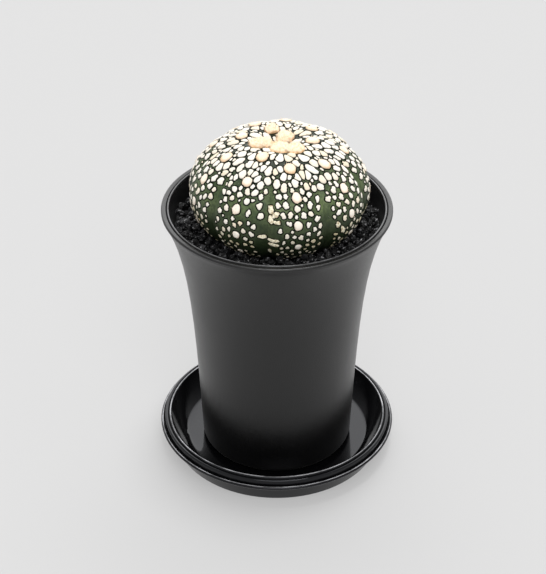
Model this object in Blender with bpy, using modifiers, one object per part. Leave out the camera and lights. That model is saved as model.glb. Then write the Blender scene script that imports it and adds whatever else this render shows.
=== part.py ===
"""A star cactus in a flared black plastic pot on its saucer. Metres, +Z up.

The origin is the centre of the saucer's foot, on the surface that the saucer stands on. Everything is
turned about the Z axis, apart from the ribbed plant and the loose stones.
"""

import math
import random

import bmesh
import bpy
from mathutils import Vector

# Driving dimensions, in metres.
GAP = 0.0003  # clearance between pieces that rest on each other

SAUCER_RADIUS = 0.04815
SAUCER_FOOT_RADIUS = 0.0422
SAUCER_WALL = 0.0018
SAUCER_FLOOR_TOP = 0.0030
SAUCER_FLOOR_RADIUS = 0.0374
SAUCER_BEAD_TOP = 0.0128
SAUCER_BEAD_RADIUS = 0.04425
SAUCER_FLANGE_TOP = 0.0101
SAUCER_CHANNEL_TOP = 0.0086

POT_RIM_RADIUS = 0.0450
POT_RIM_TOP = 0.1120
POT_WALL = 0.0017
POT_FLOOR = 0.0022
POT_FOOT_HEIGHT = 0.0014
POT_CORNER = 0.0025
POT_BASE_RADIUS = 0.0304
POT_TAPER = 0.041  # growth of the radius over the height of the straight part
POT_FLARE = 0.01036  # extra radius that the bell mouth adds at the rim
POT_FLARE_REACH = 0.0220  # height over which the bell mouth dies away
DRAIN_RADIUS = 0.0055
SIDE_DRAIN_RADIUS = 0.0028
SIDE_DRAIN_CIRCLE = 0.0170
SIDE_DRAINS = 6
FOOT_NOTCHES = 3
FOOT_NOTCH_WIDTH = 0.0060

MIX_TOP = 0.1015
BED_TOP = 0.1039

PLANT_AXIS_X = 0.0008  # the plant stands a little off the pot's axis
PLANT_RADIUS = 0.0350
PLANT_WIDEST = 0.1196  # height of the widest ring
PLANT_DOME = 0.0230  # height of the dome above the widest ring, before the crown sinks in
PLANT_BULGE = 0.0230  # depth of the full curve below the widest ring
PLANT_BASE = 0.1030
CROWN_DEPTH = 0.0046
CROWN_RADIUS = 0.0085
RIBS = 9
FIRST_RIB = math.radians(-78.0)
FURROW_DEPTH = 0.0011
FURROW_WIDTH = math.radians(5.5)
NECK_RADIUS = 0.0070
ROOT_TIP = 0.0820

STONE_RINGS = ((18, 0.0323, 0.0021), (22, 0.0376, 0.0022))  # count, ring radius, largest stone radius
STONE_CORNERS = 16

POT_BASE = SAUCER_FLOOR_TOP + GAP
POT_FLOOR_TOP = POT_BASE + POT_FOOT_HEIGHT + POT_FLOOR
TURN_STEPS = 90
SMALL_TURN_STEPS = 48


def clear_scene():
    for obj in list(bpy.data.objects):
        bpy.data.objects.remove(obj, do_unlink=True)


def new_collection(name, hidden=False):
    collection = bpy.data.collections.new(name)
    bpy.context.scene.collection.children.link(collection)
    collection.hide_render = hidden
    return collection


def new_material(name, colour, roughness, metallic=0.0):
    material = bpy.data.materials.new(name)
    material.use_nodes = True
    shader = material.node_tree.nodes["Principled BSDF"]
    shader.inputs["Base Color"].default_value = (*colour, 1.0)
    shader.inputs["Roughness"].default_value = roughness
    shader.inputs["Metallic"].default_value = metallic
    return material


def new_object(name, mesh, collection, material=None):
    obj = bpy.data.objects.new(name, mesh)
    collection.objects.link(obj)
    if material is not None:
        mesh.materials.append(material)
    return obj


def arc(centre, radius, start, end, count):
    """Points (radius, height) round a centre, from one angle to another in degrees."""
    points = []
    for i in range(count):
        angle = math.radians(start + (end - start) * i / (count - 1))
        points.append((centre[0] + radius * math.cos(angle), centre[1] + radius * math.sin(angle)))
    return points


def turned(name, outline, collection, material, steps=TURN_STEPS):
    """A closed solid from an outline (radius, height) that runs down its outer side.

    An outline that starts and ends on the axis is left open there; any other one is closed to a ring.
    """
    points = [(r, 0.0, z) for r, z in outline]
    edges = [(i, i + 1) for i in range(len(points) - 1)]
    if outline[0][0] > 0:
        edges.append((len(points) - 1, 0))
    mesh = bpy.data.meshes.new(name)
    mesh.from_pydata(points, edges, [])
    obj = new_object(name, mesh, collection, material)
    screw = obj.modifiers.new("Turn", "SCREW")
    screw.steps = steps
    screw.render_steps = steps
    screw.use_merge_vertices = True
    screw.merge_threshold = 0.00001
    screw.use_smooth_shade = True
    return obj


# The saucer


def saucer_outline():
    """Floor, slanted wall, thin bead, round band, groove, flange, skirt to the foot, then the underside."""
    bead = 0.00045
    bead_centre = (SAUCER_BEAD_RADIUS, SAUCER_BEAD_TOP - bead)
    band = 0.0007
    band_centre = (SAUCER_BEAD_RADIUS + 0.0015, SAUCER_BEAD_TOP - 0.0004 - band)
    flange = 0.0007
    flange_centre = (SAUCER_RADIUS - flange, SAUCER_FLANGE_TOP - flange)
    underside = SAUCER_FLOOR_TOP - SAUCER_WALL
    wall_outside = SAUCER_FLOOR_RADIUS + 0.5 * SAUCER_WALL
    outline = [(0.0, SAUCER_FLOOR_TOP), (SAUCER_FLOOR_RADIUS - 0.0008, SAUCER_FLOOR_TOP)]
    outline.append((SAUCER_FLOOR_RADIUS + 0.0004, SAUCER_FLOOR_TOP + 0.0005))
    outline.append((SAUCER_FLOOR_RADIUS + 0.0040, SAUCER_FLOOR_TOP + 0.0042))
    outline += arc(bead_centre, bead, 165, 10, 6)
    outline.append((bead_centre[0] + 0.0007, SAUCER_BEAD_TOP - 0.0009))
    outline += arc(band_centre, band, 135, 0, 6)
    outline.append((band_centre[0] + band, SAUCER_FLANGE_TOP - 0.0001))
    outline.append((band_centre[0] + band + 0.0002, SAUCER_FLANGE_TOP - 0.0005))
    outline += arc(flange_centre, flange, 125, -75, 8)
    outline.append((SAUCER_RADIUS - 0.0026, SAUCER_FLANGE_TOP - 0.0022))
    outline.append((SAUCER_FOOT_RADIUS + 0.0004, 0.0005))
    outline.append((SAUCER_FOOT_RADIUS, 0.0))
    outline.append((SAUCER_FOOT_RADIUS - SAUCER_WALL, 0.0))
    outline.append((SAUCER_FOOT_RADIUS - SAUCER_WALL + 0.0003, 0.0005))
    outline.append((SAUCER_BEAD_RADIUS - 0.0003, SAUCER_CHANNEL_TOP - 0.0012))
    outline.append((SAUCER_BEAD_RADIUS - 0.0006, SAUCER_CHANNEL_TOP))
    outline.append((SAUCER_BEAD_RADIUS - 0.0010, SAUCER_CHANNEL_TOP - 0.0008))
    outline.append((wall_outside, underside + 0.0008))
    outline.append((wall_outside - 0.0010, underside))
    outline.append((0.0, underside))
    return outline


# The pot


def wall_radius(z):
    """Outer radius of the pot's wall: a slight taper, and a bell mouth that opens towards the rim."""
    flare = POT_FLARE * math.exp((z - POT_RIM_TOP) / POT_FLARE_REACH)
    return POT_BASE_RADIUS + POT_TAPER * (z - POT_BASE) + flare


def wall_points(bottom, top, count, inset):
    """Points up the wall, closer together towards the bell mouth."""
    points = []
    for i in range(count):
        share = i / (count - 1)
        z = bottom + (top - bottom) * (1 - (1 - share) ** 1.6)
        points.append((wall_radius(z) - inset, z))
    return points


def pot_outline():
    """A ring, because the middle drain hole is part of it."""
    foot_inner = 0.0240
    corner_centre = (wall_radius(POT_BASE) - POT_CORNER, POT_BASE + POT_CORNER)
    inner_bottom = POT_FLOOR_TOP + 0.0015
    lip_underside = POT_RIM_TOP - 0.0022
    edge = 0.0007
    edge_centre = (POT_RIM_RADIUS - edge, POT_RIM_TOP - 0.0001 - edge)
    bead = 0.0004
    bead_centre = (POT_RIM_RADIUS - 0.0027, POT_RIM_TOP - bead)
    outline = [(DRAIN_RADIUS, POT_FLOOR_TOP), (wall_radius(inner_bottom) - POT_WALL - 0.0015, POT_FLOOR_TOP)]
    outline += wall_points(inner_bottom, POT_RIM_TOP - 0.0020, 9, POT_WALL)
    outline += arc(bead_centre, bead, 200, 10, 7)
    outline.append((bead_centre[0] + 0.0006, POT_RIM_TOP - 0.0008))
    outline.append((bead_centre[0] + 0.0009, POT_RIM_TOP - 0.0003))
    outline += arc(edge_centre, edge, 95, -70, 7)
    outline.append((wall_radius(lip_underside) + 0.0002, lip_underside))
    outline += wall_points(corner_centre[1], lip_underside - 0.0006, 12, 0.0)[::-1]
    outline += arc(corner_centre, POT_CORNER, -22, -90, 4)
    outline.append((foot_inner, POT_BASE))
    outline.append((foot_inner - 0.0003, POT_BASE + POT_FOOT_HEIGHT))
    outline.append((DRAIN_RADIUS, POT_BASE + POT_FOOT_HEIGHT))
    return outline


def cut(obj, cutter, collection):
    cutter.hide_render = True
    cutter.display_type = "WIRE"
    for user in list(cutter.users_collection):
        user.objects.unlink(cutter)
    collection.objects.link(cutter)
    boolean = obj.modifiers.new(cutter.name, "BOOLEAN")
    boolean.operation = "DIFFERENCE"
    boolean.object = cutter


def build_pot(collection, cutters, material):
    pot = turned("pot", pot_outline(), collection, material)
    middle = POT_BASE + (POT_FOOT_HEIGHT + POT_FLOOR) / 2
    for i in range(SIDE_DRAINS):
        angle = 2 * math.pi * (i + 0.5) / SIDE_DRAINS
        place = (SIDE_DRAIN_CIRCLE * math.cos(angle), SIDE_DRAIN_CIRCLE * math.sin(angle), middle)
        bpy.ops.mesh.primitive_cylinder_add(
            vertices=14, radius=SIDE_DRAIN_RADIUS, depth=0.0100, location=place
        )
        cutter = bpy.context.object
        cutter.name = f"side_drain_cutter_{i + 1}"
        cut(pot, cutter, cutters)
    for i in range(FOOT_NOTCHES):
        angle = 2 * math.pi * i / FOOT_NOTCHES + math.pi / 2
        place = (0.0270 * math.cos(angle), 0.0270 * math.sin(angle), POT_BASE)
        bpy.ops.mesh.primitive_cube_add(size=1.0, location=place, rotation=(0.0, 0.0, angle))
        cutter = bpy.context.object
        cutter.name = f"foot_notch_cutter_{i + 1}"
        cutter.scale = (0.0120, FOOT_NOTCH_WIDTH, 1.8 * POT_FOOT_HEIGHT)
        cut(pot, cutter, cutters)
    return pot


# The potting mix and the bed of grit


def root_radius(z):
    """Radius of the neck and tap root, from the plant's base down to the tip."""
    share = max(0.0, (z - ROOT_TIP) / (PLANT_BASE - ROOT_TIP))
    return NECK_RADIUS * share**0.6


def mix_outline():
    """Fills the pot up to the bed, with a socket for the tap root."""
    inset = POT_WALL + GAP
    bottom = POT_FLOOR_TOP + GAP
    clearance = PLANT_AXIS_X + 2 * GAP
    outline = [(0.0, ROOT_TIP - GAP), (clearance, ROOT_TIP - GAP)]
    for i in range(1, 7):
        z = ROOT_TIP + (MIX_TOP - ROOT_TIP) * i / 6
        outline.append((root_radius(z) + clearance, z))
    outline += wall_points(bottom + 0.0020, MIX_TOP, 8, inset)[::-1]
    outline.append((wall_radius(bottom) - inset - 0.0022, bottom))
    outline.append((0.0, bottom))
    return outline


def bed_outline():
    """A ring under and round the plant: thin below the plant's base, thicker outside it."""
    bottom = MIX_TOP + GAP
    under = PLANT_BASE - GAP
    inner = NECK_RADIUS + 3 * GAP
    base_edge = plant_radius(PLANT_BASE) + 3 * GAP + PLANT_AXIS_X
    top_edge = plant_radius(BED_TOP) + 3 * GAP + PLANT_AXIS_X
    inset = POT_WALL + GAP
    return [
        (inner + PLANT_AXIS_X, under),
        (base_edge, under),
        (top_edge, BED_TOP),
        (wall_radius(BED_TOP) - inset, BED_TOP),
        (wall_radius(bottom) - inset, bottom),
        (inner + PLANT_AXIS_X, bottom),
    ]


# The plant


def plant_radius(z):
    """Radius of the plant's side below its widest ring, between the furrows."""
    return PLANT_RADIUS * math.sqrt(1 - ((PLANT_WIDEST - z) / PLANT_BULGE) ** 2)


def plant_meridian():
    """Points (radius, height) from the crown, over the dome, round the base and down to the root's tip."""
    dome_points, side_points, root_points = 12, 6, 5
    points = []
    for i in range(dome_points + 1):
        angle = math.pi / 2 * i / dome_points
        r = PLANT_RADIUS * math.sin(angle)
        sink = CROWN_DEPTH * math.exp(-((r / CROWN_RADIUS) ** 2))
        points.append((r, PLANT_WIDEST + PLANT_DOME * math.cos(angle) - sink))
    for i in range(1, side_points + 1):
        z = PLANT_WIDEST + (PLANT_BASE - PLANT_WIDEST) * math.sin(math.pi / 2 * i / side_points)
        points.append((plant_radius(z), z))
    points.append((0.6 * plant_radius(PLANT_BASE), PLANT_BASE + GAP))
    for i in range(root_points + 1):
        z = PLANT_BASE + (ROOT_TIP - PLANT_BASE) * i / root_points
        points.append((root_radius(z), z))
    return points


def furrow(azimuth, radius, height):
    """How far the skin sinks in at an azimuth: a narrow groove between each two ribs."""
    spacing = 2 * math.pi / RIBS
    from_furrow = (azimuth - FIRST_RIB + spacing / 2) % spacing
    from_furrow = min(from_furrow, spacing - from_furrow)
    fade = min(1.0, radius / (0.6 * PLANT_RADIUS)) if height > PLANT_BASE + 2 * GAP else 0.0
    return FURROW_DEPTH * fade * math.exp(-((from_furrow / FURROW_WIDTH) ** 2))


def build_plant(collection, material):
    """A sphere whose rings of points are moved onto the meridian, with grooves between the ribs."""
    meridian = plant_meridian()
    rings = len(meridian) - 1
    shape = bmesh.new()
    bmesh.ops.create_uvsphere(shape, u_segments=6 * RIBS, v_segments=rings, radius=1.0)
    for vertex in shape.verts:
        ring = round(math.acos(max(-1.0, min(1.0, vertex.co.z))) / math.pi * rings)
        azimuth = math.atan2(vertex.co.y, vertex.co.x)
        radius, height = meridian[ring]
        radius -= furrow(azimuth + FIRST_RIB, radius, height)
        turned_to = azimuth + FIRST_RIB
        vertex.co = Vector((radius * math.cos(turned_to), radius * math.sin(turned_to), height))
    mesh = bpy.data.meshes.new("cactus")
    shape.to_mesh(mesh)
    shape.free()
    mesh.shade_smooth()
    plant = new_object("cactus", mesh, collection, material)
    plant.location.x = PLANT_AXIS_X
    return plant


# The loose stones on the bed


def stone_mesh(name, radius, draw):
    """An angular pebble: the hull of points scattered over a squashed ball, standing on height 0."""
    shape = bmesh.new()
    squash = draw.uniform(0.72, 0.95)
    for i in range(STONE_CORNERS):
        height = 1 - 2 * (i + 0.5) / STONE_CORNERS
        across = math.sqrt(1 - height * height)
        azimuth = i * math.pi * (3 - math.sqrt(5)) + draw.uniform(-0.25, 0.25)
        reach = radius * draw.uniform(0.82, 1.0)
        direction = Vector((across * math.cos(azimuth), across * math.sin(azimuth), squash * height))
        shape.verts.new(reach * direction)
    bmesh.ops.convex_hull(shape, input=shape.verts)
    lowest = min(vertex.co.z for vertex in shape.verts)
    bmesh.ops.translate(shape, verts=shape.verts, vec=(0.0, 0.0, -lowest))
    bmesh.ops.recalc_face_normals(shape, faces=shape.faces)
    mesh = bpy.data.meshes.new(name)
    shape.to_mesh(mesh)
    shape.free()
    return mesh


def build_stones(collection, material):
    """Rings of separate stones round the plant, standing on the bed."""
    draw = random.Random(7)
    number = 0
    for count, ring_radius, largest in STONE_RINGS:
        for i in range(count):
            number += 1
            name = f"grit_stone_{number:02d}"
            radius = largest * draw.uniform(0.78, 1.0)
            spare = 0.5 * (2 * math.pi * ring_radius / count - 2 * largest) - GAP
            azimuth = 2 * math.pi * i / count + draw.uniform(-1, 1) * spare / ring_radius
            stone = new_object(name, stone_mesh(name, radius, draw), collection, material)
            stone.location = (
                ring_radius * math.cos(azimuth) + (PLANT_AXIS_X if ring_radius < 0.035 else 0.0),
                ring_radius * math.sin(azimuth),
                BED_TOP + GAP,
            )


def main():
    clear_scene()
    parts = new_collection("potted_star_cactus")
    cutters = new_collection("cutters", hidden=True)
    gloss = new_material("saucer_black", (0.012, 0.012, 0.014), 0.12)
    matte = new_material("pot_black", (0.032, 0.031, 0.033), 0.48)
    soil = new_material("potting_mix", (0.060, 0.042, 0.030), 0.95)
    grit = new_material("black_grit", (0.014, 0.014, 0.015), 0.55)
    skin = new_material("cactus_skin", (0.055, 0.110, 0.040), 0.50)
    turned("saucer", saucer_outline(), parts, gloss)
    build_pot(parts, cutters, matte)
    turned("potting_mix", mix_outline(), parts, soil, SMALL_TURN_STEPS)
    turned("grit_bed", bed_outline(), parts, grit, SMALL_TURN_STEPS)
    build_plant(parts, skin)
    build_stones(parts, grit)


main()
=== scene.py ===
"""The looks of a potted star cactus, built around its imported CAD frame. Metres, +Z up.

The plant's own shape is one function, skin_point. The skin, the woolly flecks and the tufts are all made
from it, so each of them lies on the same surface. The camera looks along +Y.
"""

import math

import bmesh
import bpy
import numpy as np
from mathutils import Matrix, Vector, noise


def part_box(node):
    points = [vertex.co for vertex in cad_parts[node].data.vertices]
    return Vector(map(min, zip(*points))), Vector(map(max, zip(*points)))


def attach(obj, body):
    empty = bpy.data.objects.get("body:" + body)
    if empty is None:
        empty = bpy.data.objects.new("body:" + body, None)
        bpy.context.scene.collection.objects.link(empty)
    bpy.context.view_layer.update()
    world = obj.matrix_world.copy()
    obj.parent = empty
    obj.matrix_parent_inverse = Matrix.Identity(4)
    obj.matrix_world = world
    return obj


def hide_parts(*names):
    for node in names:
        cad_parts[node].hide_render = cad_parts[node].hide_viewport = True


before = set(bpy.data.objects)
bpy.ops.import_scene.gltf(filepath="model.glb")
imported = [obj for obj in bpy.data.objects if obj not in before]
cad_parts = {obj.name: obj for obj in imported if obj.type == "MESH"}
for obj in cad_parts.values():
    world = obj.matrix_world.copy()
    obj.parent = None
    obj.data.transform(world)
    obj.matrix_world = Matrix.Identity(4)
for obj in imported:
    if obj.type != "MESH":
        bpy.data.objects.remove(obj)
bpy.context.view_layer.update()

MM = 0.001

# The plant, as in the CAD model.
RIBS = 9
FIRST_RIB = math.radians(-78.0)
RIB_ANGLE = 2 * math.pi / RIBS
PLANT_AXIS_X = 0.8 * MM
PLANT_RADIUS = 35.0 * MM
PLANT_WIDEST = 119.6 * MM
PLANT_DOME = 23.0 * MM
PLANT_BULGE = 23.0 * MM
CROWN_DEPTH = 4.6 * MM
CROWN_RADIUS = 8.5 * MM
FURROW_DEPTH = 1.1 * MM
FURROW_WIDTH = math.radians(5.5)
CREASE_DEPTH = 0.5 * MM
CREASE_WIDTH = math.radians(1.5)
TOP_ANGLE = math.radians(1.0)
BASE_ANGLE = math.radians(135.0)
SHOULDER_ANGLE = math.radians(58.0)
# The thin dark edge round each pad, which is painted shade: how far out its three rings reach, and their
# heights over the skin.
APRON_REACHES = np.array([0.05, 0.50, 0.60]) * MM
APRON_LIFTS = np.array([0.03, 0.02, -0.08]) * MM

POT_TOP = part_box("pot")[1]
SAUCER_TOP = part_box("saucer")[1]
BED_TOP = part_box("grit_bed")[1]
STONES = sorted(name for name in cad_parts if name.startswith("grit_stone"))
# How far in from its outer edge the pot's lip and the saucer's two ridges carry a painted highlight line.
LIP_INSET = 2.7 * MM
RIDGE_INSETS = (0.7 * MM, 3.88 * MM)

# The camera stands in front of the object and looks down on it. The lens is in millimetres.
CAMERA_PLACE = (-0.00155, -0.6256, 0.4980)
CAMERA_PITCH = math.radians(55.865)
CAMERA_LENS = 118.93
FLOOR_HALF = 3.0
# The studio is brightest behind the object: the direction of that glow, and where it starts and is full.
GLOW_DIRECTION = (0.06, 0.83, 0.555)
GLOW_START, GLOW_FULL = 0.6, 0.98
GLOW_LOW, GLOW_HIGH = 0.7, 2.6
# Each light: the direction it comes from, its spread in degrees, and its strength.
LIGHTS = {"overhead": ((0.08, 0.12, 1.0), 14, 1.0), "key": ((0.1, -1.0, 1.1), 40, 1.1)}

# The tufts that crowd round the growing point: distance in millimetres and azimuth in degrees from the
# axis, then width and height in millimetres.
CROWN_TUFTS = (
    (4.4, -80, 8.6, 3.9),
    (8.4, -45, 7.2, 3.1),
    (5.6, 178, 6.2, 3.5),
    (8.8, -166, 6.4, 2.9),
    (5.4, 64, 6.8, 3.7),
    (9.9, 107, 5.8, 2.7),
    (1.0, 120, 4.6, 1.9),
)
# The polar angle of each rib's first areole below the crown, the step to the next, and the last, in degrees.
FIRST_AREOLES = (32, 37, 21, 28, 34, 30, 25, 37, 22)
AREOLE_STEP = 23.5
LAST_AREOLE = 118
# Flecks lie between these polar angles. Each pass scatters pads at a scale, with a number of tries.
FLECK_TOP, FLECK_BOTTOM = math.radians(7), math.radians(127)
FLECK_PASSES = ((1.15, 8000), (0.95, 9000), (0.74, 8000), (0.48, 6000))
SMALL_FLECK = 0.6
# The furrow at the front is bare of flecks low down: its azimuth and spread in radians.
BARE_AZIMUTH = math.radians(264.0)
BARE_SPREAD = 0.3
# Widths and gaps in millimetres, and shares, that go with the polar angle in degrees.
AREOLE_SIZE = ((20, 36, 50, 75, 110), (2.4, 2.15, 1.85, 1.6, 1.1))
AREOLE_RISE = ((25, 60, 110), (0.38, 0.30, 0.26))
AREOLE_ORANGE = ((25, 75), (0.75, 0.15))
AREOLE_PEACH = ((25, 60, 90), (0.9, 0.35, 0.05))
LANE_WIDTH = ((42, 60, 80, 100, 120), (0.0, 0.9, 2.2, 2.9, 2.2))
FLECK_WIDTH = ((15, 45, 62, 75, 95, 125), (0.95, 0.98, 0.92, 0.86, 0.68, 0.50))
FLECK_STRETCH = ((15, 38, 58, 125), (2.6, 2.1, 1.15, 1.12))
FLECK_ROOM = ((18, 40, 56, 75, 120), (-0.16, -0.12, 0.38, 0.72, 1.00))
FLECK_GROWTH = ((18, 40, 56), (1.5, 1.35, 1.0))
FLECK_GAP = ((30, 60), (0.42, 0.54))
FLECK_TAN = ((35, 60), (0.2, 0.0))
# The share of painted shade on the skin: round the crown among the crowded flecks, and from the widest ring
# down.
SKIN_PAINTED_SHADE = ((30, 52, 68, 86, 108, 128), (0.9, 0.1, 0.0, 0.62, 0.88, 0.95))
TUFT_HAIRS = 26
CROWN_HAIRS = 1500

# Corky patches on the skin: polar angle and azimuth in degrees, half width and half length in millimetres,
# and turn in radians.
SCARS = (
    (65.5, -95.8, 1.2, 1.5, 0.1),
    (69.0, -92.4, 1.0, 1.4, 0.7),
    (74.0, -95.6, 0.9, 2.0, 0.0),
    (75.5, -91.4, 1.4, 0.7, 0.0),
    (91.0, -100.5, 2.2, 0.75, 0.2),
    (94.5, -93.8, 2.1, 0.8, 0.05),
    (99.5, -93.6, 1.9, 0.85, 0.1),
    (110.0, -96.5, 0.7, 1.4, 0.0),
    (88.0, -51.0, 0.8, 1.5, -0.3),
    (96.0, -47.0, 0.9, 1.9, -0.4),
)
SCAR_HEIGHT = 0.26 * MM

ROCK_KINDS = 16
# The layers of loose grains: height over the bed and smallest and largest half width, all in millimetres,
# and the number of tries.
GRIT_LAYERS = ((0.5, 1.6, 2.2, 1500), (2.3, 1.9, 2.9, 3000), (3.8, 1.1, 1.9, 400))
GRIT_CREASE = math.radians(28)
CAD_CREASE = math.radians(38)

# Painted shade: the dark line where wool meets skin.
WOOL_EDGE_SHADE = (0.002, 0.004, 0.0015)


# Node helpers


def new_material(name):
    material = bpy.data.materials.new(name)
    material.use_nodes = True
    tree = material.node_tree
    return material, tree, tree.nodes["Principled BSDF"]


def add(tree, kind, inputs=None, **settings):
    """A new node. An input is a value, or another node's output, which is linked."""
    node = tree.nodes.new(kind)
    for name, value in settings.items():
        setattr(node, name, value)
    for name, value in (inputs or {}).items():
        if isinstance(value, bpy.types.NodeSocket):
            tree.links.new(value, node.inputs[name])
        else:
            node.inputs[name].default_value = value
    return node


def object_coords(tree):
    return add(tree, "ShaderNodeTexCoord").outputs["Object"]


def noise_of(tree, coords, per_mm, detail=3.0, roughness=0.55, distortion=0.0):
    """Noise with about this many features per millimetre."""
    inputs = {
        "Vector": coords,
        "Scale": per_mm / MM,
        "Detail": detail,
        "Roughness": roughness,
        "Distortion": distortion,
    }
    return add(tree, "ShaderNodeTexNoise", inputs).outputs["Fac"]


def span(tree, value, low, high, to_low=0.0, to_high=1.0):
    """Maps a value from one range to another, held at its ends."""
    inputs = {"Value": value, "From Min": low, "From Max": high, "To Min": to_low, "To Max": to_high}
    return add(tree, "ShaderNodeMapRange", inputs).outputs["Result"]


def mixed(tree, share, first, second):
    """A colour between two, each a colour or an output."""
    node = tree.nodes.new("ShaderNodeMix")
    node.data_type = "RGBA"
    for socket, value in ((node.inputs[0], share), (node.inputs[6], first), (node.inputs[7], second)):
        if isinstance(value, bpy.types.NodeSocket):
            tree.links.new(value, socket)
        elif isinstance(value, float):
            socket.default_value = value
        else:
            socket.default_value = (*value, 1.0)
    return node.outputs[2]


def math_of(tree, operation, first, second=0.0):
    node = add(tree, "ShaderNodeMath", operation=operation)
    for socket, value in ((node.inputs[0], first), (node.inputs[1], second)):
        if isinstance(value, bpy.types.NodeSocket):
            tree.links.new(value, socket)
        else:
            socket.default_value = value
    return node.outputs[0]


def attribute(tree, name):
    return add(tree, "ShaderNodeAttribute", attribute_name=name).outputs["Fac"]


def ring_line(tree, coords, radius, half_width, lowest):
    """1 on a circle round the Z axis, falling to 0 a half width away, and 0 below a height."""
    flat = add(tree, "ShaderNodeVectorMath", {0: coords, 1: (1.0, 1.0, 0.0)}, operation="MULTIPLY")
    reach = add(tree, "ShaderNodeVectorMath", {0: flat.outputs["Vector"]}, operation="LENGTH")
    away = math_of(tree, "ABSOLUTE", math_of(tree, "SUBTRACT", reach.outputs["Value"], radius))
    height = add(tree, "ShaderNodeSeparateXYZ", {"Vector": coords}).outputs["Z"]
    line = span(tree, away, 0.3 * half_width, half_width, 1.0, 0.0)
    return math_of(tree, "MULTIPLY", line, math_of(tree, "GREATER_THAN", height, lowest))


def paint_highlight_line(tree, colour, coords, line, amount, bare):
    """A painted highlight: a colour turned to a pale one along a line, more in some places than others."""
    patch = span(tree, noise_of(tree, coords, 0.12, 4.0), 0.38, 0.62, 0.2, 1.0)
    share = math_of(tree, "MULTIPLY", math_of(tree, "MULTIPLY", line, patch), amount)
    return mixed(tree, share, colour, bare)


def add_bump(tree, shader, height, depth, strength=1.0):
    """Bump with a depth in metres, laid on any bump that the shader already has."""
    bump = add(tree, "ShaderNodeBump", {"Height": height, "Distance": depth, "Strength": strength})
    before = shader.inputs["Normal"]
    if before.is_linked:
        tree.links.new(before.links[0].from_socket, bump.inputs["Normal"])
    tree.links.new(bump.outputs["Normal"], before)


# Materials


def pot_material():
    """Matte black moulded plastic, with a fine grain, a little dust and a painted highlight line along the
    lip.
    """
    material, tree, shader = new_material("pot_plastic")
    coords = object_coords(tree)
    grain = noise_of(tree, coords, 2.3, 3.0)
    cloud = noise_of(tree, coords, 0.05, 4.0)
    speck = span(tree, noise_of(tree, coords, 1.6, 2.0), 0.66, 0.74)
    colour = mixed(tree, span(tree, cloud, 0.35, 0.7), (0.0016, 0.0016, 0.0018), (0.0030, 0.0029, 0.0031))
    colour = mixed(tree, math_of(tree, "MULTIPLY", speck, 0.2), colour, (0.030, 0.029, 0.029))
    # Painted highlight: a pale line along the lip.
    edge = ring_line(tree, coords, POT_TOP.x - LIP_INSET, 0.35 * MM, POT_TOP.z - 1.5 * MM)
    colour = paint_highlight_line(tree, colour, coords, edge, 0.8, (0.15, 0.15, 0.155))
    tree.links.new(colour, shader.inputs["Base Color"])
    tree.links.new(span(tree, cloud, 0.3, 0.75, 0.30, 0.36), shader.inputs["Roughness"])
    shader.inputs["IOR"].default_value = 1.50
    shader.inputs["Sheen Weight"].default_value = 0.03
    shader.inputs["Sheen Roughness"].default_value = 0.35
    add_bump(tree, shader, grain, 0.09 * MM, 0.8)
    return material


def saucer_material():
    """Glossy black moulded plastic, with faint wipe marks and dust, and painted highlight lines along its two
    ridges.
    """
    material, tree, shader = new_material("saucer_plastic")
    coords = object_coords(tree)
    cloud = noise_of(tree, coords, 0.07, 5.0, 0.6, 1.2)
    grain = noise_of(tree, coords, 1.2, 2.0)
    speck = span(tree, noise_of(tree, coords, 1.1, 1.0), 0.70, 0.76)
    colour = mixed(tree, math_of(tree, "MULTIPLY", speck, 0.3), (0.0020, 0.0020, 0.0024), (0.03, 0.03, 0.03))
    # Painted highlight: pale lines along the bead and the flange.
    for inset in RIDGE_INSETS:
        edge = ring_line(tree, coords, SAUCER_TOP.x - inset, 0.30 * MM, SAUCER_TOP.z - 4.0 * MM)
        colour = paint_highlight_line(tree, colour, coords, edge, 0.9, (0.55, 0.55, 0.57))
    tree.links.new(colour, shader.inputs["Base Color"])
    tree.links.new(span(tree, cloud, 0.3, 0.75, 0.05, 0.12), shader.inputs["Roughness"])
    shader.inputs["IOR"].default_value = 1.37
    shader.inputs["Specular Tint"].default_value = (0.92, 0.94, 1.0, 1.0)
    add_bump(tree, shader, grain, 0.012 * MM, 0.6)
    return material


def mix_material():
    """Brown and grey mineral grains, pressed together, with painted shade in the gaps between them."""
    material, tree, shader = new_material("potting_mix")
    coords = object_coords(tree)
    cells = add(tree, "ShaderNodeTexVoronoi", {"Vector": coords, "Scale": 0.45 / MM})
    tone = add(tree, "ShaderNodeSeparateColor", {"Color": cells.outputs["Color"]}).outputs["Red"]
    colour = mixed(tree, tone, (0.035, 0.022, 0.014), (0.16, 0.12, 0.085))
    # Painted shade: dark in the gaps between the grains.
    gap_shade = span(tree, cells.outputs["Distance"], 0.35, 0.75)
    colour = mixed(tree, gap_shade, colour, (0.006, 0.005, 0.004))
    tree.links.new(colour, shader.inputs["Base Color"])
    shader.inputs["Roughness"].default_value = 0.95
    add_bump(tree, shader, cells.outputs["Distance"], -0.8 * MM)
    add_bump(tree, shader, noise_of(tree, coords, 2.5), 0.2 * MM)
    return material


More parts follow.
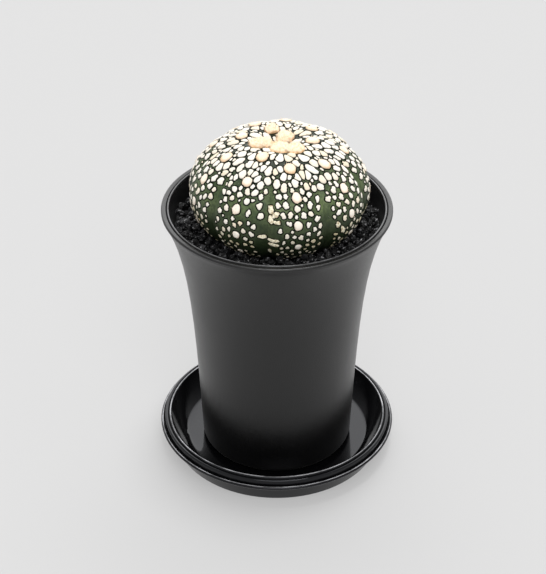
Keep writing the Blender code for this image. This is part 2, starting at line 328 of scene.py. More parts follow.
def grit_material():
    """Black lava grit: rough, with paler grains, painted glints on a few spots, and painted shade in the low
    places of its bump.
    """
    material, tree, shader = new_material("black_grit")
    coords = object_coords(tree)
    tone = attribute(tree, "tone")
    fine = noise_of(tree, coords, 1.8, 4.0, 0.65)
    colour = mixed(tree, tone, (0.0010, 0.0010, 0.0013), (0.020, 0.020, 0.022))
    # Painted shade: near black where the bump is low.
    pit_shade = span(tree, fine, 0.39, 0.5)
    colour = mixed(tree, pit_shade, (0.001, 0.001, 0.001), colour)
    # Painted highlight: pale grey spots standing in for glints.
    painted_glint = span(tree, noise_of(tree, coords, 0.95, 4.0, 0.62), 0.60, 0.63)
    colour = mixed(tree, math_of(tree, "MULTIPLY", painted_glint, 0.8), colour, (0.40, 0.40, 0.41))
    tree.links.new(colour, shader.inputs["Base Color"])
    shader.inputs["Specular IOR Level"].default_value = 0.3
    tree.links.new(span(tree, fine, 0.35, 0.65, 0.24, 0.60), shader.inputs["Roughness"])
    add_bump(tree, shader, fine, 0.5 * MM)
    return material


def skin_material():
    """Waxy green skin: paler and yellower patches, and painted shade that darkens it round the crown, where
    the flecks crowd, and low down towards the soil.
    """
    material, tree, shader = new_material("cactus_skin")
    coords = object_coords(tree)
    broad = noise_of(tree, coords, 0.11, 4.0, 0.6, 0.4)
    cells = noise_of(tree, coords, 0.9, 3.0)
    blue = noise_of(tree, coords, 0.08, 2.0, 0.5, 0.8)
    colour = mixed(tree, span(tree, broad, 0.35, 0.68), (0.031, 0.054, 0.016), (0.124, 0.166, 0.066))
    colour = mixed(tree, span(tree, blue, 0.56, 0.72, 0.0, 0.6), colour, (0.014, 0.036, 0.026))
    colour = mixed(tree, span(tree, cells, 0.35, 0.60, 0.55, 0.0), colour, (0.010, 0.024, 0.006))
    specks = span(tree, noise_of(tree, coords, 1.9, 1.0), 0.70, 0.76, 0.0, 0.5)
    colour = mixed(tree, specks, colour, (0.30, 0.32, 0.22))
    # Painted shade: darker round the crown and towards the soil.
    colour = mixed(tree, attribute(tree, "painted_shade"), colour, (0.006, 0.012, 0.004))
    tree.links.new(colour, shader.inputs["Base Color"])
    tree.links.new(span(tree, cells, 0.3, 0.7, 0.42, 0.58), shader.inputs["Roughness"])
    shader.inputs["Specular IOR Level"].default_value = 0.35
    add_bump(tree, shader, cells, 0.10 * MM)
    add_bump(tree, shader, noise_of(tree, coords, 3.2, 2.0), 0.03 * MM)
    return material


def fleck_material():
    """Off-white felt pads, tan in places, yellowed by wear and darkened by painted shade near the soil, and
    with a painted shade line where they meet the skin.
    """
    material, tree, shader = new_material("wool_flecks")
    coords = object_coords(tree)
    felt = noise_of(tree, coords, 2.6, 4.0, 0.7)
    blotch = noise_of(tree, coords, 0.55, 2.0)
    colour = mixed(tree, attribute(tree, "tint"), (0.86, 0.82, 0.74), (0.80, 0.70, 0.53))
    colour = mixed(tree, span(tree, blotch, 0.57, 0.72, 0.0, 0.45), colour, (0.72, 0.60, 0.42))
    # Yellowed by wear and darkened by painted shade near the soil.
    worn_and_shade = math_of(tree, "MULTIPLY", attribute(tree, "worn_and_shade"), span(tree, felt, 0.38, 0.6, 0.5, 1.0))
    colour = mixed(tree, worn_and_shade, colour, (0.42, 0.36, 0.17))
    colour = mixed(tree, span(tree, felt, 0.30, 0.44, 0.30, 0.0), colour, (0.56, 0.48, 0.37))
    # Painted shade: the dark apron round each pad.
    colour = mixed(tree, attribute(tree, "wool"), WOOL_EDGE_SHADE, colour)
    tree.links.new(colour, shader.inputs["Base Color"])
    shader.inputs["Roughness"].default_value = 0.9
    shader.inputs["Specular IOR Level"].default_value = 0.05
    add_bump(tree, shader, felt, 0.14 * MM)
    return material


def tuft_material():
    """Matted wool: peach on top, orange-brown low down, at the low edges and in the crevices."""
    material, tree, shader = new_material("areole_wool")
    coords = object_coords(tree)
    felt = noise_of(tree, coords, 2.0, 5.0, 0.72)
    strands = noise_of(tree, coords, 0.9, 3.0, 0.6, 2.5)
    colour = mixed(tree, attribute(tree, "peach"), (0.95, 0.91, 0.83), (0.96, 0.76, 0.54))
    colour = mixed(tree, span(tree, felt, 0.34, 0.46, 0.55, 0.0), colour, (0.86, 0.57, 0.29))
    colour = mixed(tree, span(tree, strands, 0.52, 0.62, 0.0, 0.7), colour, (0.95, 0.89, 0.78))
    # Orange-brown low down on the tufts and in the crown's crevices.
    low = math_of(tree, "MULTIPLY", attribute(tree, "low"), span(tree, felt, 0.3, 0.6, 0.55, 1.0))
    colour = mixed(tree, low, colour, (0.74, 0.40, 0.14))
    # Painted shade: the dark apron round each tuft.
    colour = mixed(tree, attribute(tree, "wool"), WOOL_EDGE_SHADE, colour)
    tree.links.new(colour, shader.inputs["Base Color"])
    shader.inputs["Roughness"].default_value = 0.9
    shader.inputs["Specular IOR Level"].default_value = 0.05
    add_bump(tree, shader, felt, 0.14 * MM)
    add_bump(tree, shader, strands, 0.1 * MM)
    return material


def scar_material():
    """Dry cork: beige, with brown cracks, and a painted shade line round it."""
    material, tree, shader = new_material("corky_scar")
    coords = object_coords(tree)
    crust = noise_of(tree, coords, 1.3, 4.0, 0.7)
    colour = mixed(tree, span(tree, crust, 0.36, 0.52), (0.40, 0.28, 0.13), (0.92, 0.87, 0.68))
    # Painted shade: the dark apron round each scar.
    colour = mixed(tree, attribute(tree, "wool"), (0.008, 0.010, 0.004), colour)
    tree.links.new(colour, shader.inputs["Base Color"])
    shader.inputs["Roughness"].default_value = 0.8
    shader.inputs["Specular IOR Level"].default_value = 0.15
    add_bump(tree, shader, crust, 0.3 * MM)
    return material


def floor_material():
    """A pale surface that is partly lit from below, so that its shadows stay light."""
    material, tree, shader = new_material("studio_floor")
    shader.inputs["Base Color"].default_value = (0.262, 0.262, 0.262, 1.0)
    shader.inputs["Roughness"].default_value = 0.9
    shader.inputs["Specular IOR Level"].default_value = 0.0
    shader.inputs["Emission Color"].default_value = (1.0, 0.997, 0.997, 1.0)
    shader.inputs["Emission Strength"].default_value = 0.345
    return material


# The plant's surface


def smooth_step(value, low, high):
    share = np.clip((value - low) / (high - low), 0.0, 1.0)
    return share * share * (3 - 2 * share)


def meridian(polar):
    """Radius and height at a polar angle, from 0 at the crown to 90 degrees at the widest ring."""
    radius = PLANT_RADIUS * np.sin(polar)
    depth = np.where(polar < math.pi / 2, PLANT_DOME, PLANT_BULGE)
    sink = CROWN_DEPTH * np.exp(-((radius / CROWN_RADIUS) ** 2))
    height = PLANT_WIDEST + depth * np.cos(polar) - np.where(polar < math.pi / 2, sink, 0.0)
    return radius, height


def off_furrow(azimuth):
    """The angle from the nearest furrow, which lies halfway between two ribs."""
    turned = (azimuth - FIRST_RIB + RIB_ANGLE / 2) % RIB_ANGLE
    return np.minimum(turned, RIB_ANGLE - turned)


def skin_place(polar, azimuth):
    """Points on the skin, with its furrows and a slow unevenness."""
    radius, height = meridian(polar)
    away = off_furrow(azimuth)
    fade = np.clip(radius / (0.6 * PLANT_RADIUS), 0.0, 1.0)
    groove = FURROW_DEPTH * np.exp(-((away / FURROW_WIDTH) ** 2))
    crease = CREASE_DEPTH * np.exp(-((away / CREASE_WIDTH) ** 2)) * smooth_step(polar, 0.5, 1.1)
    swell = 0.22 * MM * np.sin(2 * azimuth + 1.3) * np.sin(3 * polar)
    swell += 0.16 * MM * np.sin(5 * azimuth - 0.7) * np.sin(4 * polar + 0.6)
    radius = radius - fade * (groove + crease - swell)
    return np.stack(
        [PLANT_AXIS_X + radius * np.cos(azimuth), radius * np.sin(azimuth), height], axis=-1
    )


def skin_point(polar, azimuth, lift=0.0):
    """Points above the skin by a distance along its normal."""
    polar = np.asarray(polar, float)
    azimuth = np.asarray(azimuth, float)
    step = 0.01
    place = skin_place(polar, azimuth)
    along = skin_place(polar + step, azimuth) - skin_place(polar - step, azimuth)
    round_about = skin_place(polar, azimuth + step) - skin_place(polar, azimuth - step)
    normal = np.cross(along, round_about)
    normal /= np.linalg.norm(normal, axis=-1, keepdims=True)
    return place + normal * np.asarray(lift, float)[..., None]


def by_polar(table, polar):
    """A value from a table of polar angles in degrees, at an angle in radians."""
    return np.interp(np.degrees(polar), *table)


def length_per_angle(polar):
    """How far a point moves down the skin per radian of polar angle."""
    step = 0.005
    r0, z0 = meridian(polar - step)
    r1, z1 = meridian(polar + step)
    return np.hypot(r1 - r0, z1 - z0) / (2 * step)


# Mesh helpers


def new_piece(name, points, faces, material):
    """A smooth-shaded mesh that rides on the root body."""
    mesh = bpy.data.meshes.new(name)
    mesh.from_pydata([tuple(p) for p in points], [], [tuple(int(i) for i in f) for f in faces])
    mesh.update()
    mesh.shade_smooth()
    mesh.materials.append(material)
    piece = bpy.data.objects.new(name, mesh)
    bpy.context.scene.collection.objects.link(piece)
    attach(piece, "root")
    return piece


def set_attribute(piece, name, values):
    layer = piece.data.attributes.new(name, "FLOAT", "POINT")
    layer.data.foreach_set("value", np.asarray(values, np.float32))


class Gather:
    """Collects many small solids into one mesh, with a value for each point and name."""

    def __init__(self, *names):
        self.points = []
        self.faces = []
        self.values = {name: [] for name in names}
        self.count = 0

    def put(self, points, faces, **values):
        self.points.append(np.asarray(points, float))
        self.faces.extend([[i + self.count for i in face] for face in faces])
        self.count += len(points)
        for name, value in values.items():
            self.values[name].append(np.broadcast_to(np.asarray(value, float), len(points)))

    def piece(self, name, material, slot):
        made = new_piece(name, np.concatenate(self.points), self.faces, material)
        for key, parts in self.values.items():
            set_attribute(made, key, np.concatenate(parts))
        return made


def band_faces(first, around):
    """Faces between the ring of points that starts at a number and the next ring."""
    for i in range(around):
        j = (i + 1) % around
        yield (first + i, first + around + i, first + around + j, first + j)


def disc_faces(rings, around):
    """Faces of a closed pad: a top point, rings of points going outwards, and a bottom point."""
    faces = [(0, 1 + i, 1 + (i + 1) % around) for i in range(around)]
    for ring in range(rings - 1):
        faces += band_faces(1 + ring * around, around)
    last = 1 + (rings - 1) * around
    bottom = last + around
    faces += [(last + (i + 1) % around, last + i, bottom) for i in range(around)]
    return faces


# The skin


def build_skin(material):
    """The plant's ribbed body, closed at the crown and below the grit."""
    around, down = 432, 180
    polar = TOP_ANGLE + (BASE_ANGLE - TOP_ANGLE) * np.linspace(0, 1, down)
    azimuth = np.linspace(0, 2 * math.pi, around, endpoint=False)
    grid_polar, grid_azimuth = np.meshgrid(polar, azimuth, indexing="ij")
    points = skin_point(grid_polar, grid_azimuth).reshape(-1, 3)
    top = points[:around].mean(0)
    bottom = points[-around:].mean(0)
    faces = []
    for ring in range(down - 1):
        faces += band_faces(ring * around, around)
    last = (down - 1) * around
    count = down * around
    faces += [(count, i, (i + 1) % around) for i in range(around)]
    faces += [(count + 1, last + (i + 1) % around, last + i) for i in range(around)]
    points = np.concatenate([points, [top, bottom]])
    skin = new_piece("cactus_body", points, faces, material)
    painted_shade = by_polar(SKIN_PAINTED_SHADE, grid_polar).ravel()
    set_attribute(skin, "painted_shade", np.concatenate([painted_shade, [0.0, 1.0]]))
    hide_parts("cactus")


# Flecks, areoles and scars: pads that lie on the skin


PAD_POINTS = 16
PAD_ANGLES = np.linspace(0, 2 * math.pi, PAD_POINTS, endpoint=False)


def ellipse_reach(angle, half_width, half_length):
    """Distance from an ellipse's centre to its edge in a direction."""
    return 1 / np.hypot(np.cos(angle) / half_width, np.sin(angle) / half_length)


def ragged_outline(half_width, half_length, rng, turn, wobble):
    """Distance from a pad's centre to its edge, in each of PAD_ANGLES."""
    outline = ellipse_reach(PAD_ANGLES - turn, half_width, half_length)
    for waves in range(2, 8):
        ripple = np.cos(waves * PAD_ANGLES + rng.uniform(0, 6.3))
        outline = outline * (1 + wobble * rng.uniform(-1, 1) * ripple / math.sqrt(waves))
    return outline


def pad(polar, azimuth, outline, height, rng):
    """One felt pad on the skin: a low crown, a steep edge, and a thin dark apron round it that is painted
    shade.
    """
    around = PAD_POINTS
    shares = np.array([0.48, 0.84, 1.0])
    reach = np.concatenate([np.outer(shares, outline), outline + APRON_REACHES[:, None]])
    lifts = np.repeat(np.array([0.97, 0.80, 0.36])[:, None] * height, around, axis=1)
    lifts *= 1 + 0.2 * rng.uniform(-1, 1, (3, around))
    lifts = np.concatenate([lifts, np.repeat(APRON_LIFTS[:, None], around, axis=1)])
    radius = meridian(np.float64(polar))[0]
    per_angle = length_per_angle(np.float64(polar))
    u_all = np.concatenate([[0.0], (reach * np.cos(PAD_ANGLES)).ravel(), [0.0]])
    v_all = np.concatenate([[0.0], (reach * np.sin(PAD_ANGLES)).ravel(), [0.0]])
    lift_all = np.concatenate([[height], lifts.ravel(), [-0.4 * MM]])
    points = skin_point(polar + v_all / per_angle, azimuth + u_all / radius, lift_all)
    wool = np.concatenate([[1.0], np.repeat([1.0, 1.0, 0.9, 0.0, 0.0, 0.0], around), [0.0]])
    return points, disc_faces(len(reach), around), wool


class Cover:
    """The pads on the skin: keeps them apart, and squeezes those that crowd.

    Distances are along the skin. A fixed pad, such as a tuft or a scar, keeps its outline, and its
    neighbours give way.
    """

    def __init__(self):
        self.rows = []

    def offsets(self, polar, azimuth):
        """From a point to each pad so far: across and along the skin."""
        rows = np.array(self.rows)
        middle = (rows[:, 0] + polar) / 2
        turned = (rows[:, 1] - azimuth + math.pi) % (2 * math.pi) - math.pi
        across = turned * PLANT_RADIUS * np.sin(middle)
        along = (rows[:, 0] - polar) * length_per_angle(middle)
        return rows, across, along

    def free(self, polar, azimuth, half_width, half_length, gap):
        """Whether a new pad would keep its gap to all the others."""
        if not self.rows:
            return True
        rows, across, along = self.offsets(polar, azimuth)
        room_across = rows[:, 2] + half_width + gap
        room_along = rows[:, 3] + half_length + gap
        return np.hypot(across / room_across, along / room_along).min() >= 1.0

    def put(self, polar, azimuth, half_width, half_length, fixed=True):
        self.rows.append((polar, azimuth, half_width, half_length, float(fixed)))

    def squeeze(self, polar, azimuth, half_width, half_length, outline, gap):
        """Cuts an outline back to halfway to each neighbour, or to a fixed neighbour's edge."""
        rows, across, along = self.offsets(polar, azimuth)
        apart = np.hypot(across, along)
        for j in np.nonzero((apart > 1e-6) & (apart < 7 * MM))[0]:
            direction = math.atan2(along[j], across[j])
            own = ellipse_reach(direction, half_width, half_length)
            other = ellipse_reach(direction, rows[j, 2], rows[j, 3])
            limit = apart[j] - other - gap if rows[j, 4] else apart[j] * own / (own + other) - gap / 2
            limit = max(limit, 0.3 * own)
            facing = np.cos(PAD_ANGLES - direction)
            cut = np.where(facing > 0.08, limit / np.maximum(facing, 0.08), np.inf)
            outline = np.minimum(outline, cut)
        rounded = (np.roll(outline, 1) + 2 * outline + np.roll(outline, -1)) / 4
        return np.minimum(outline, rounded)


def areole_places():
    """Polar angle, azimuth and half width of each tuft on the ribs, from the crown down."""
    for rib in range(RIBS):
        azimuth = FIRST_RIB + rib * RIB_ANGLE
        for polar in np.arange(FIRST_AREOLES[rib], LAST_AREOLE, AREOLE_STEP):
            yield math.radians(polar), azimuth, np.interp(polar, *AREOLE_SIZE) * MM


def lane_half_width(polar, azimuth):
    """The bare strip along a furrow widens from the shoulder down to the waist, most of all at the front."""
    wave = 1 + 0.25 * math.sin(azimuth * 4 + polar * 9)
    front = math.exp(-(((azimuth - BARE_AZIMUTH) / BARE_SPREAD) ** 2)) * smooth_step(polar, 1.25, 1.45)
    return by_polar(LANE_WIDTH, polar) * MM * wave * (1 + 0.7 * front)


def fleck_size(polar, scale, rng):
    """Half width and half length: streaks near the crown, round pads below, small ones low down."""
    stretch = by_polar(FLECK_STRETCH, polar) * rng.uniform(0.84, 1.22)
    width = by_polar(FLECK_WIDTH, polar) * MM * (scale * rng.uniform(0.9, 1.12))
    return width, width * stretch


def place_flecks(cover, rng):
    """Fills the skin with pads, large ones first, then smaller ones in what is left."""
    flecks = []
    for scale, tries in FLECK_PASSES:
        small = scale < SMALL_FLECK
        for _ in range(tries):
            polar = math.acos(rng.uniform(math.cos(FLECK_BOTTOM), math.cos(FLECK_TOP)))
            azimuth = rng.uniform(0, 2 * math.pi)
            width, length = fleck_size(polar, scale, rng)
            off_lane = off_furrow(azimuth) * PLANT_RADIUS * math.sin(polar)
            if off_lane < lane_half_width(polar, azimuth) + 0.9 * width:
                continue
            low = smooth_step(polar, 1.45, 2.1)
            if rng.uniform() < 0.6 * low + 0.6 * small * smooth_step(polar, 0.8, 1.1):
                continue
            if cover.free(polar, azimuth, width, length, by_polar(FLECK_ROOM, polar) * MM):
                cover.put(polar, azimuth, width, length, fixed=False)
                flecks.append((polar, azimuth, width, length))
    return flecks


def build_flecks(material, cover):
    """The white flecks, in two pieces: round the crown and shoulder, and down the sides."""
    rng = np.random.default_rng(11)
    upper, lower = Gather("wool", "tint", "worn_and_shade"), Gather("wool", "tint", "worn_and_shade")
    for polar, azimuth, width, length in place_flecks(cover, rng):
        height = width * rng.uniform(0.26, 0.40)
        grown = by_polar(FLECK_GROWTH, polar)
        outline = ragged_outline(width * grown, length * grown, rng, rng.uniform(-0.3, 0.3), 0.38)
        outline = cover.squeeze(polar, azimuth, width, length, outline, by_polar(FLECK_GAP, polar) * MM)
        points, faces, wool = pad(polar, azimuth, outline, height, rng)
        # Wear and painted shade near the soil.
        worn_and_shade = float(smooth_step(polar, 1.4, 1.8)) * rng.uniform(0.4, 1.0)
        tint = min(max(0.0, rng.normal(by_polar(FLECK_TAN, polar), 0.35)), 1.0)
        gather = upper if polar < SHOULDER_ANGLE else lower
        gather.put(points, faces, wool=wool, tint=tint, worn_and_shade=worn_and_shade)
    upper.piece("wool_flecks_top", material, "cactus_skin")
    lower.piece("wool_flecks_side", material, "cactus_skin")


def build_areoles(material, cover):
    """Round woolly tufts along each rib, higher than the flecks and peach-coloured near the crown.

    Returns the hairs that stick out of them, for the crown to add to.
    """
    rng = np.random.default_rng(23)
    gather = Gather("peach", "low", "wool")
    hairs = Hairs(rng)
    for polar, azimuth, size in areole_places():
        length = size * rng.uniform(1.0, 1.2)
        azimuth += rng.uniform(-0.025, 0.025)
        cover.put(polar, azimuth, size, length)
        height = size * by_polar(AREOLE_RISE, polar)
        outline = ragged_outline(size, length, rng, rng.uniform(-0.3, 0.3), 0.09)
        points, faces, wool = pad(polar, azimuth, outline, height, rng)
        base = skin_point(polar, azimuth)
        rise = np.linalg.norm(points - base, axis=1)
        side = (points[:, 2] < base[2] + 0.1 * MM) * 1.0
        low = np.clip((rise / size - 0.55) / 0.5, 0, 1) * by_polar(AREOLE_ORANGE, polar)
        peach = by_polar(AREOLE_PEACH, polar) * rng.uniform(0.6, 1.1)
        gather.put(points, faces, peach=peach, low=low * (0.3 + 0.7 * side), wool=wool)
        hairs.tuft(points, base, size)
    gather.piece("areole_tufts", material, "cactus_skin")
    return hairs


class Hairs:
    """Short wool hairs, each a closed three-sided spike."""

    def __init__(self, rng):
        self.rng = rng
        self.gather = Gather("peach", "low", "wool")

    def add(self, root, direction, length, width, peach, low):
        direction = direction / np.linalg.norm(direction)
        side = np.cross(direction, self.rng.normal(size=3))
        side /= np.linalg.norm(side)
        other = np.cross(direction, side)
        bend = self.rng.normal(size=3) * 0.22 * length
        thirds = (0.0, 2.094, 4.189)
        ring = [math.cos(a) * side + math.sin(a) * other for a in thirds]
        middle = root + direction * 0.55 * length + 0.4 * bend
        points = [root + width * r for r in ring] + [middle + 0.7 * width * r for r in ring]
        points.append(root + direction * length + bend)
        faces = [(2, 1, 0)]
        for i in range(3):
            j = (i + 1) % 3
            faces.append((i, j, 3 + j, 3 + i))
            faces.append((3 + i, 3 + j, 6))
        self.gather.put(points, faces, peach=peach, low=low, wool=1.0)

    def tuft(self, points, base, size):
        """Hairs that stick out sideways and up from a tuft's edge."""
        up = np.array(points[0]) - base
        up /= np.linalg.norm(up)
        for _ in range(TUFT_HAIRS):
            corner = np.array(points[1 + self.rng.integers(PAD_POINTS, 3 * PAD_POINTS)])
            out = corner - base
            length = size * self.rng.uniform(0.25, 0.55)
            root = base + out * 0.86
            self.add(root, out / size + up * 0.7, length, 0.06 * MM, 0.5, 0.15)


# The crown


def build_crown(material, hairs, cover):
    """Tufts of different ages grown into each other round the growing point."""
    rng = np.random.default_rng(5)
    shape = bmesh.new()
    for distance, azimuth, width, height in CROWN_TUFTS:
        turn = math.radians(azimuth)
        radius = 0.5 * width * MM
        polar = math.asin(distance * MM / PLANT_RADIUS)
        base = Vector(skin_point(polar, turn))
        cover.put(polar, turn, radius * 0.92, radius * 0.92)
        made = bmesh.ops.create_icosphere(shape, subdivisions=4, radius=1.0)["verts"]
        seed = Vector(rng.uniform(-9, 9, 3))
        for vertex in made:
            direction = vertex.co.normalized()
            ripple = 1 + 0.10 * noise.noise(direction * 1.6 + seed) + 0.07 * noise.noise(direction * 4 + seed)
            spread = Vector((direction.x * radius, direction.y * radius, direction.z * height * MM * 0.62))
            vertex.co = base + spread * ripple + Vector((0, 0, 0.12 * height * MM))
    mesh = bpy.data.meshes.new("crown_wool")
    shape.to_mesh(mesh)
    shape.free()
    crown = bpy.data.objects.new("crown_wool", mesh)
    bpy.context.scene.collection.objects.link(crown)
    remesh = crown.modifiers.new("Merge", "REMESH")
    remesh.mode = "VOXEL"
    remesh.voxel_size = 0.28 * MM
    soften = crown.modifiers.new("Soften", "SMOOTH")
    soften.factor = 0.5
    soften.iterations = 5
    depsgraph = bpy.context.evaluated_depsgraph_get()
    merged = bpy.data.meshes.new_from_object(crown.evaluated_get(depsgraph))
    crown.modifiers.clear()
    crown.data = merged
    bpy.data.meshes.remove(mesh)
    merged.name = "crown_wool"
    points = np.array([v.co for v in merged.vertices])
    normals = np.array([v.normal for v in merged.vertices])
    hollow = np.zeros(len(points))
    for i, point in enumerate(points):
        grain = noise.fractal(Vector(point) / (1.05 * MM), 0.8, 2.1, 2)
        lump = noise.noise(Vector(point) / (2.2 * MM))
        points[i] = point + normals[i] * (0.30 * grain + 0.30 * lump) * MM
        hollow[i] = min(max(0.0, -1.6 * grain - 0.15), 1.0)
    merged.vertices.foreach_set("co", points.astype(np.float32).ravel())
    merged.update()
    merged.shade_smooth()
    merged.materials.clear()
    merged.materials.append(material)
    offset = points - np.array([PLANT_AXIS_X, 0, 0])
    distance = np.hypot(offset[:, 0], offset[:, 1])
    polar = np.arcsin(np.clip(distance / PLANT_RADIUS, 0, 0.99))
    ground = meridian(polar)[1]
    rise = (points[:, 2] - ground) / MM
    set_attribute(crown, "low", np.clip(np.clip(1.0 - rise / 1.1, 0, 1) * 0.8 + 0.55 * hollow, 0, 1))
    set_attribute(crown, "peach", np.full(len(points), 0.95))
    set_attribute(crown, "wool", np.ones(len(points)))
    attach(crown, "root")
    outer = np.nonzero(normals[:, 2] > -0.2)[0]
    for i in rng.choice(outer, CROWN_HAIRS):
        slant = normals[i] + np.array([0, 0, 0.1]) + rng.normal(size=3) * 0.55
        length = rng.uniform(0.3, 0.8) * MM
        low = 0.7 * max(0.0, 1.0 - rise[i] / 1.1)
        hairs.add(points[i] - normals[i] * 0.1 * MM, slant, length, 0.07 * MM, rng.uniform(0.3, 1.0), low)


# Scars


def build_scars(material, cover):
    """Corky patches: in the furrow at the front, and low down where the plant has rubbed the grit."""
    rng = np.random.default_rng(3)
    gather = Gather("wool")
    for polar, azimuth, half_width, half_length, turn in SCARS:
        outline = ragged_outline(half_width * MM, half_length * MM, rng, turn, 0.30)
        place = (math.radians(polar), math.radians(azimuth))
        points, faces, wool = pad(*place, outline, SCAR_HEIGHT, rng)
        cover.put(*place, half_width * MM, half_length * MM)
        gather.put(points, faces, wool=wool)
    gather.piece("corky_scars", material, "cactus_skin")


# The grit


def rock_shape(rng):
    """An angular lump: a ball with rough relief, cut by a few random planes."""
    shape = bmesh.new()
    bmesh.ops.create_icosphere(shape, subdivisions=3, radius=1.0)
    seed = Vector(rng.uniform(-50, 50, 3))
    planes = rng.normal(size=(8, 3))
    planes /= np.linalg.norm(planes, axis=1, keepdims=True)
    depths = rng.uniform(0.55, 0.85, 8)
    stretch = np.array([1.0, rng.uniform(0.72, 0.95), rng.uniform(0.6, 0.85)])
    for vertex in shape.verts:
        direction = vertex.co.normalized()
        relief = 1 + 0.26 * noise.noise(direction * 1.7 + seed)
        point = np.array(direction * relief)
        for plane, depth in zip(planes, depths):
            beyond = point @ plane - depth
            if beyond > 0:
                point = point - 0.92 * beyond * plane
        coarse, fine = (noise.noise(Vector(point) * scale + seed) for scale in (4, 9))
        point *= 1 + 0.16 * coarse + 0.09 * fine
        vertex.co = Vector(point * stretch)
    points = np.array([v.co for v in shape.verts])
    faces = [[v.index for v in f.verts] for f in shape.faces]
    shape.free()
    points -= (points.max(0) + points.min(0)) / 2
    return points / np.abs(points).max(), faces


def random_turn(rng):
    """A random rotation matrix."""
    q = rng.normal(size=4)
    w, x, y, z = q / np.linalg.norm(q)
    return np.array(
        [
            [1 - 2 * (y * y + z * z), 2 * (x * y - w * z), 2 * (x * z + w * y)],
            [2 * (x * y + w * z), 1 - 2 * (x * x + z * z), 2 * (y * z - w * x)],
            [2 * (x * z - w * y), 2 * (y * z + w * x), 1 - 2 * (x * x + y * y)],
        ]
    )


def plant_radius_at(height):
    """Radius of the plant's side at a height below its widest ring."""
    share = np.clip((PLANT_WIDEST - height) / PLANT_BULGE, -1, 1)
    return PLANT_RADIUS * np.sqrt(1 - share**2)


def build_grit(material, rocks):
    """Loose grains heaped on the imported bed, in two layers and a few on top, clear of the larger stones."""
    rng = np.random.default_rng(17)
    stones = [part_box(name) for name in STONES]
    centres = [np.array((low + high) / 2) for low, high in stones]
    sizes = [(high.x - low.x) / 2 for low, high in stones]
    gather = Gather("tone")
    for lift, smallest, largest, tries in GRIT_LAYERS:
        for _ in range(tries):
            size = rng.uniform(smallest, largest) * MM
            height = BED_TOP.z + lift * MM + rng.uniform(-0.3, 0.4) * MM
            inner = plant_radius_at(height) + 0.55 * size
            outer = BED_TOP.x + 0.4 * MM - 0.85 * size
            distance = math.sqrt(rng.uniform(inner**2, outer**2))
            azimuth = rng.uniform(0, 2 * math.pi)
            place = np.array([distance * math.cos(azimuth), distance * math.sin(azimuth), height])
            place[0] += PLANT_AXIS_X * (outer - distance) / (outer - inner)
            apart = np.linalg.norm(np.array(centres) - place, axis=1)
            if (apart < 0.76 * (np.array(sizes) + size)).any():
                continue
            points, faces = rocks[rng.integers(len(rocks))]
            gather.put(place + (points * size) @ random_turn(rng).T, faces, tone=rng.uniform() ** 2)
            centres.append(place)
            sizes.append(size)
    grains = gather.piece("grit_grains", material, "black_grit")
    grains.data.set_sharp_from_angle(angle=GRIT_CREASE)


def build_stones(material, rocks):
    """A rough stone in the place of each plain one in the frame."""
    rng = np.random.default_rng(29)
    for number, name in enumerate(STONES):
        low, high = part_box(name)
        points, faces = rocks[number % len(rocks)]
        points = points @ random_turn(rng).T
        reach = np.abs(points).max(0)
        centre = np.array((low + high) / 2)
        half = np.array((high - low) / 2)
        stone = new_piece(f"rough_{name}", centre + points / reach * half, faces, material)
        set_attribute(stone, "tone", np.full(len(points), rng.uniform() ** 2))
        stone.data.set_sharp_from_angle(angle=GRIT_CREASE)
        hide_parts(name)


# Frame parts, camera, floor and light


def dress(node, material):
    """Gives a CAD node its finished material, and smooth shading that stops at its creases."""
    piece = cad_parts[node]
    mesh = piece.data
    mesh.materials.clear()
    mesh.materials.append(material)
    if mesh.has_custom_normals:
        mesh.attributes.remove(mesh.attributes["custom_normal"])
    mesh.shade_smooth()
    weld = piece.modifiers.new("Weld", "WELD")
    weld.merge_threshold = 0.000001
    split = piece.modifiers.new("Creases", "EDGE_SPLIT")
    split.split_angle = CAD_CREASE
    split.use_edge_sharp = False
    weighted = piece.modifiers.new("Normals", "WEIGHTED_NORMAL")
    weighted.weight = 60


def build_camera():
    data = bpy.data.cameras.new("camera")
    data.lens = CAMERA_LENS
    data.clip_start = 0.01
    camera = bpy.data.objects.new("camera", data)
    camera.location = CAMERA_PLACE
    camera.rotation_euler = (CAMERA_PITCH, 0.0, 0.0)
    bpy.context.scene.collection.objects.link(camera)
    bpy.context.scene.camera = camera


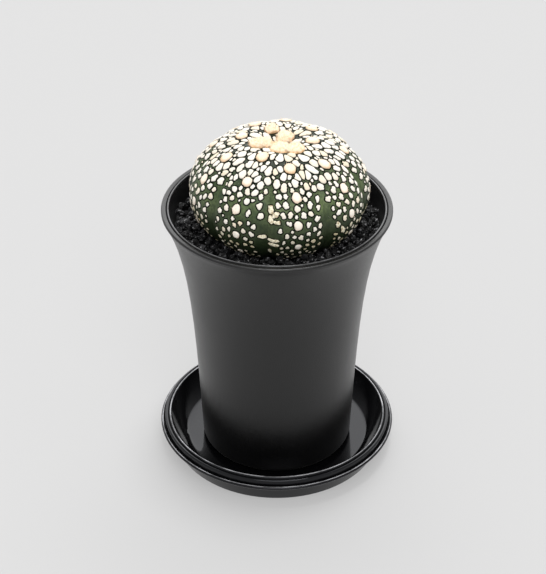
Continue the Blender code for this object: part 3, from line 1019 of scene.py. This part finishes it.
def build_floor():
    mesh = bpy.data.meshes.new("floor")
    corners = [(x * FLOOR_HALF, y * FLOOR_HALF, 0) for x, y in ((-1, -1), (1, -1), (1, 1), (-1, 1))]
    mesh.from_pydata(corners, [], [(0, 1, 2, 3)])
    mesh.materials.append(floor_material())
    floor = bpy.data.objects.new("floor", mesh)
    bpy.context.scene.collection.objects.link(floor)


def add_light(name, source, spread, strength):
    """A far, soft light that shines on everything alike, from a direction towards the origin."""
    data = bpy.data.lights.new(name, "SUN")
    data.angle = math.radians(spread)
    data.energy = strength
    light = bpy.data.objects.new(name, data)
    light.rotation_euler = (-Vector(source)).to_track_quat("-Z", "Y").to_euler()
    bpy.context.scene.collection.objects.link(light)


def build_light():
    """A white studio that is brightest behind, a light overhead and a soft key in front."""
    world = bpy.data.worlds.new("studio")
    world.use_nodes = True
    tree = world.node_tree
    background = tree.nodes["Background"]
    background.inputs["Color"].default_value = (1.0, 1.0, 1.0, 1.0)
    direction = add(tree, "ShaderNodeTexCoord").outputs["Generated"]
    facing = add(tree, "ShaderNodeVectorMath", {0: direction, 1: GLOW_DIRECTION}, operation="DOT_PRODUCT")
    strength = add(
        tree,
        "ShaderNodeMapRange",
        {
            "Value": facing.outputs["Value"],
            "From Min": GLOW_START,
            "From Max": GLOW_FULL,
            "To Min": GLOW_LOW,
            "To Max": GLOW_HIGH,
        },
        interpolation_type="SMOOTHSTEP",
    )
    tree.links.new(strength.outputs["Result"], background.inputs["Strength"])
    bpy.context.scene.world = world
    for name, (source, spread, energy) in LIGHTS.items():
        add_light(name, source, spread, energy)
    bpy.context.scene.view_settings.view_transform = "Standard"


def main():
    dress("pot", pot_material())
    dress("saucer", saucer_material())
    dress("potting_mix", mix_material())
    grit = grit_material()
    dress("grit_bed", grit)
    wool = tuft_material()
    build_skin(skin_material())
    cover = Cover()
    hairs = build_areoles(wool, cover)
    build_crown(wool, hairs, cover)
    build_scars(scar_material(), cover)
    build_flecks(fleck_material(), cover)
    hairs.gather.piece("wool_hairs", wool, "cactus_skin")
    rock_rng = np.random.default_rng(41)
    rocks = [rock_shape(rock_rng) for _ in range(ROCK_KINDS)]
    build_grit(grit, rocks)
    build_stones(grit, rocks)
    build_floor()
    build_light()
    build_camera()


main()
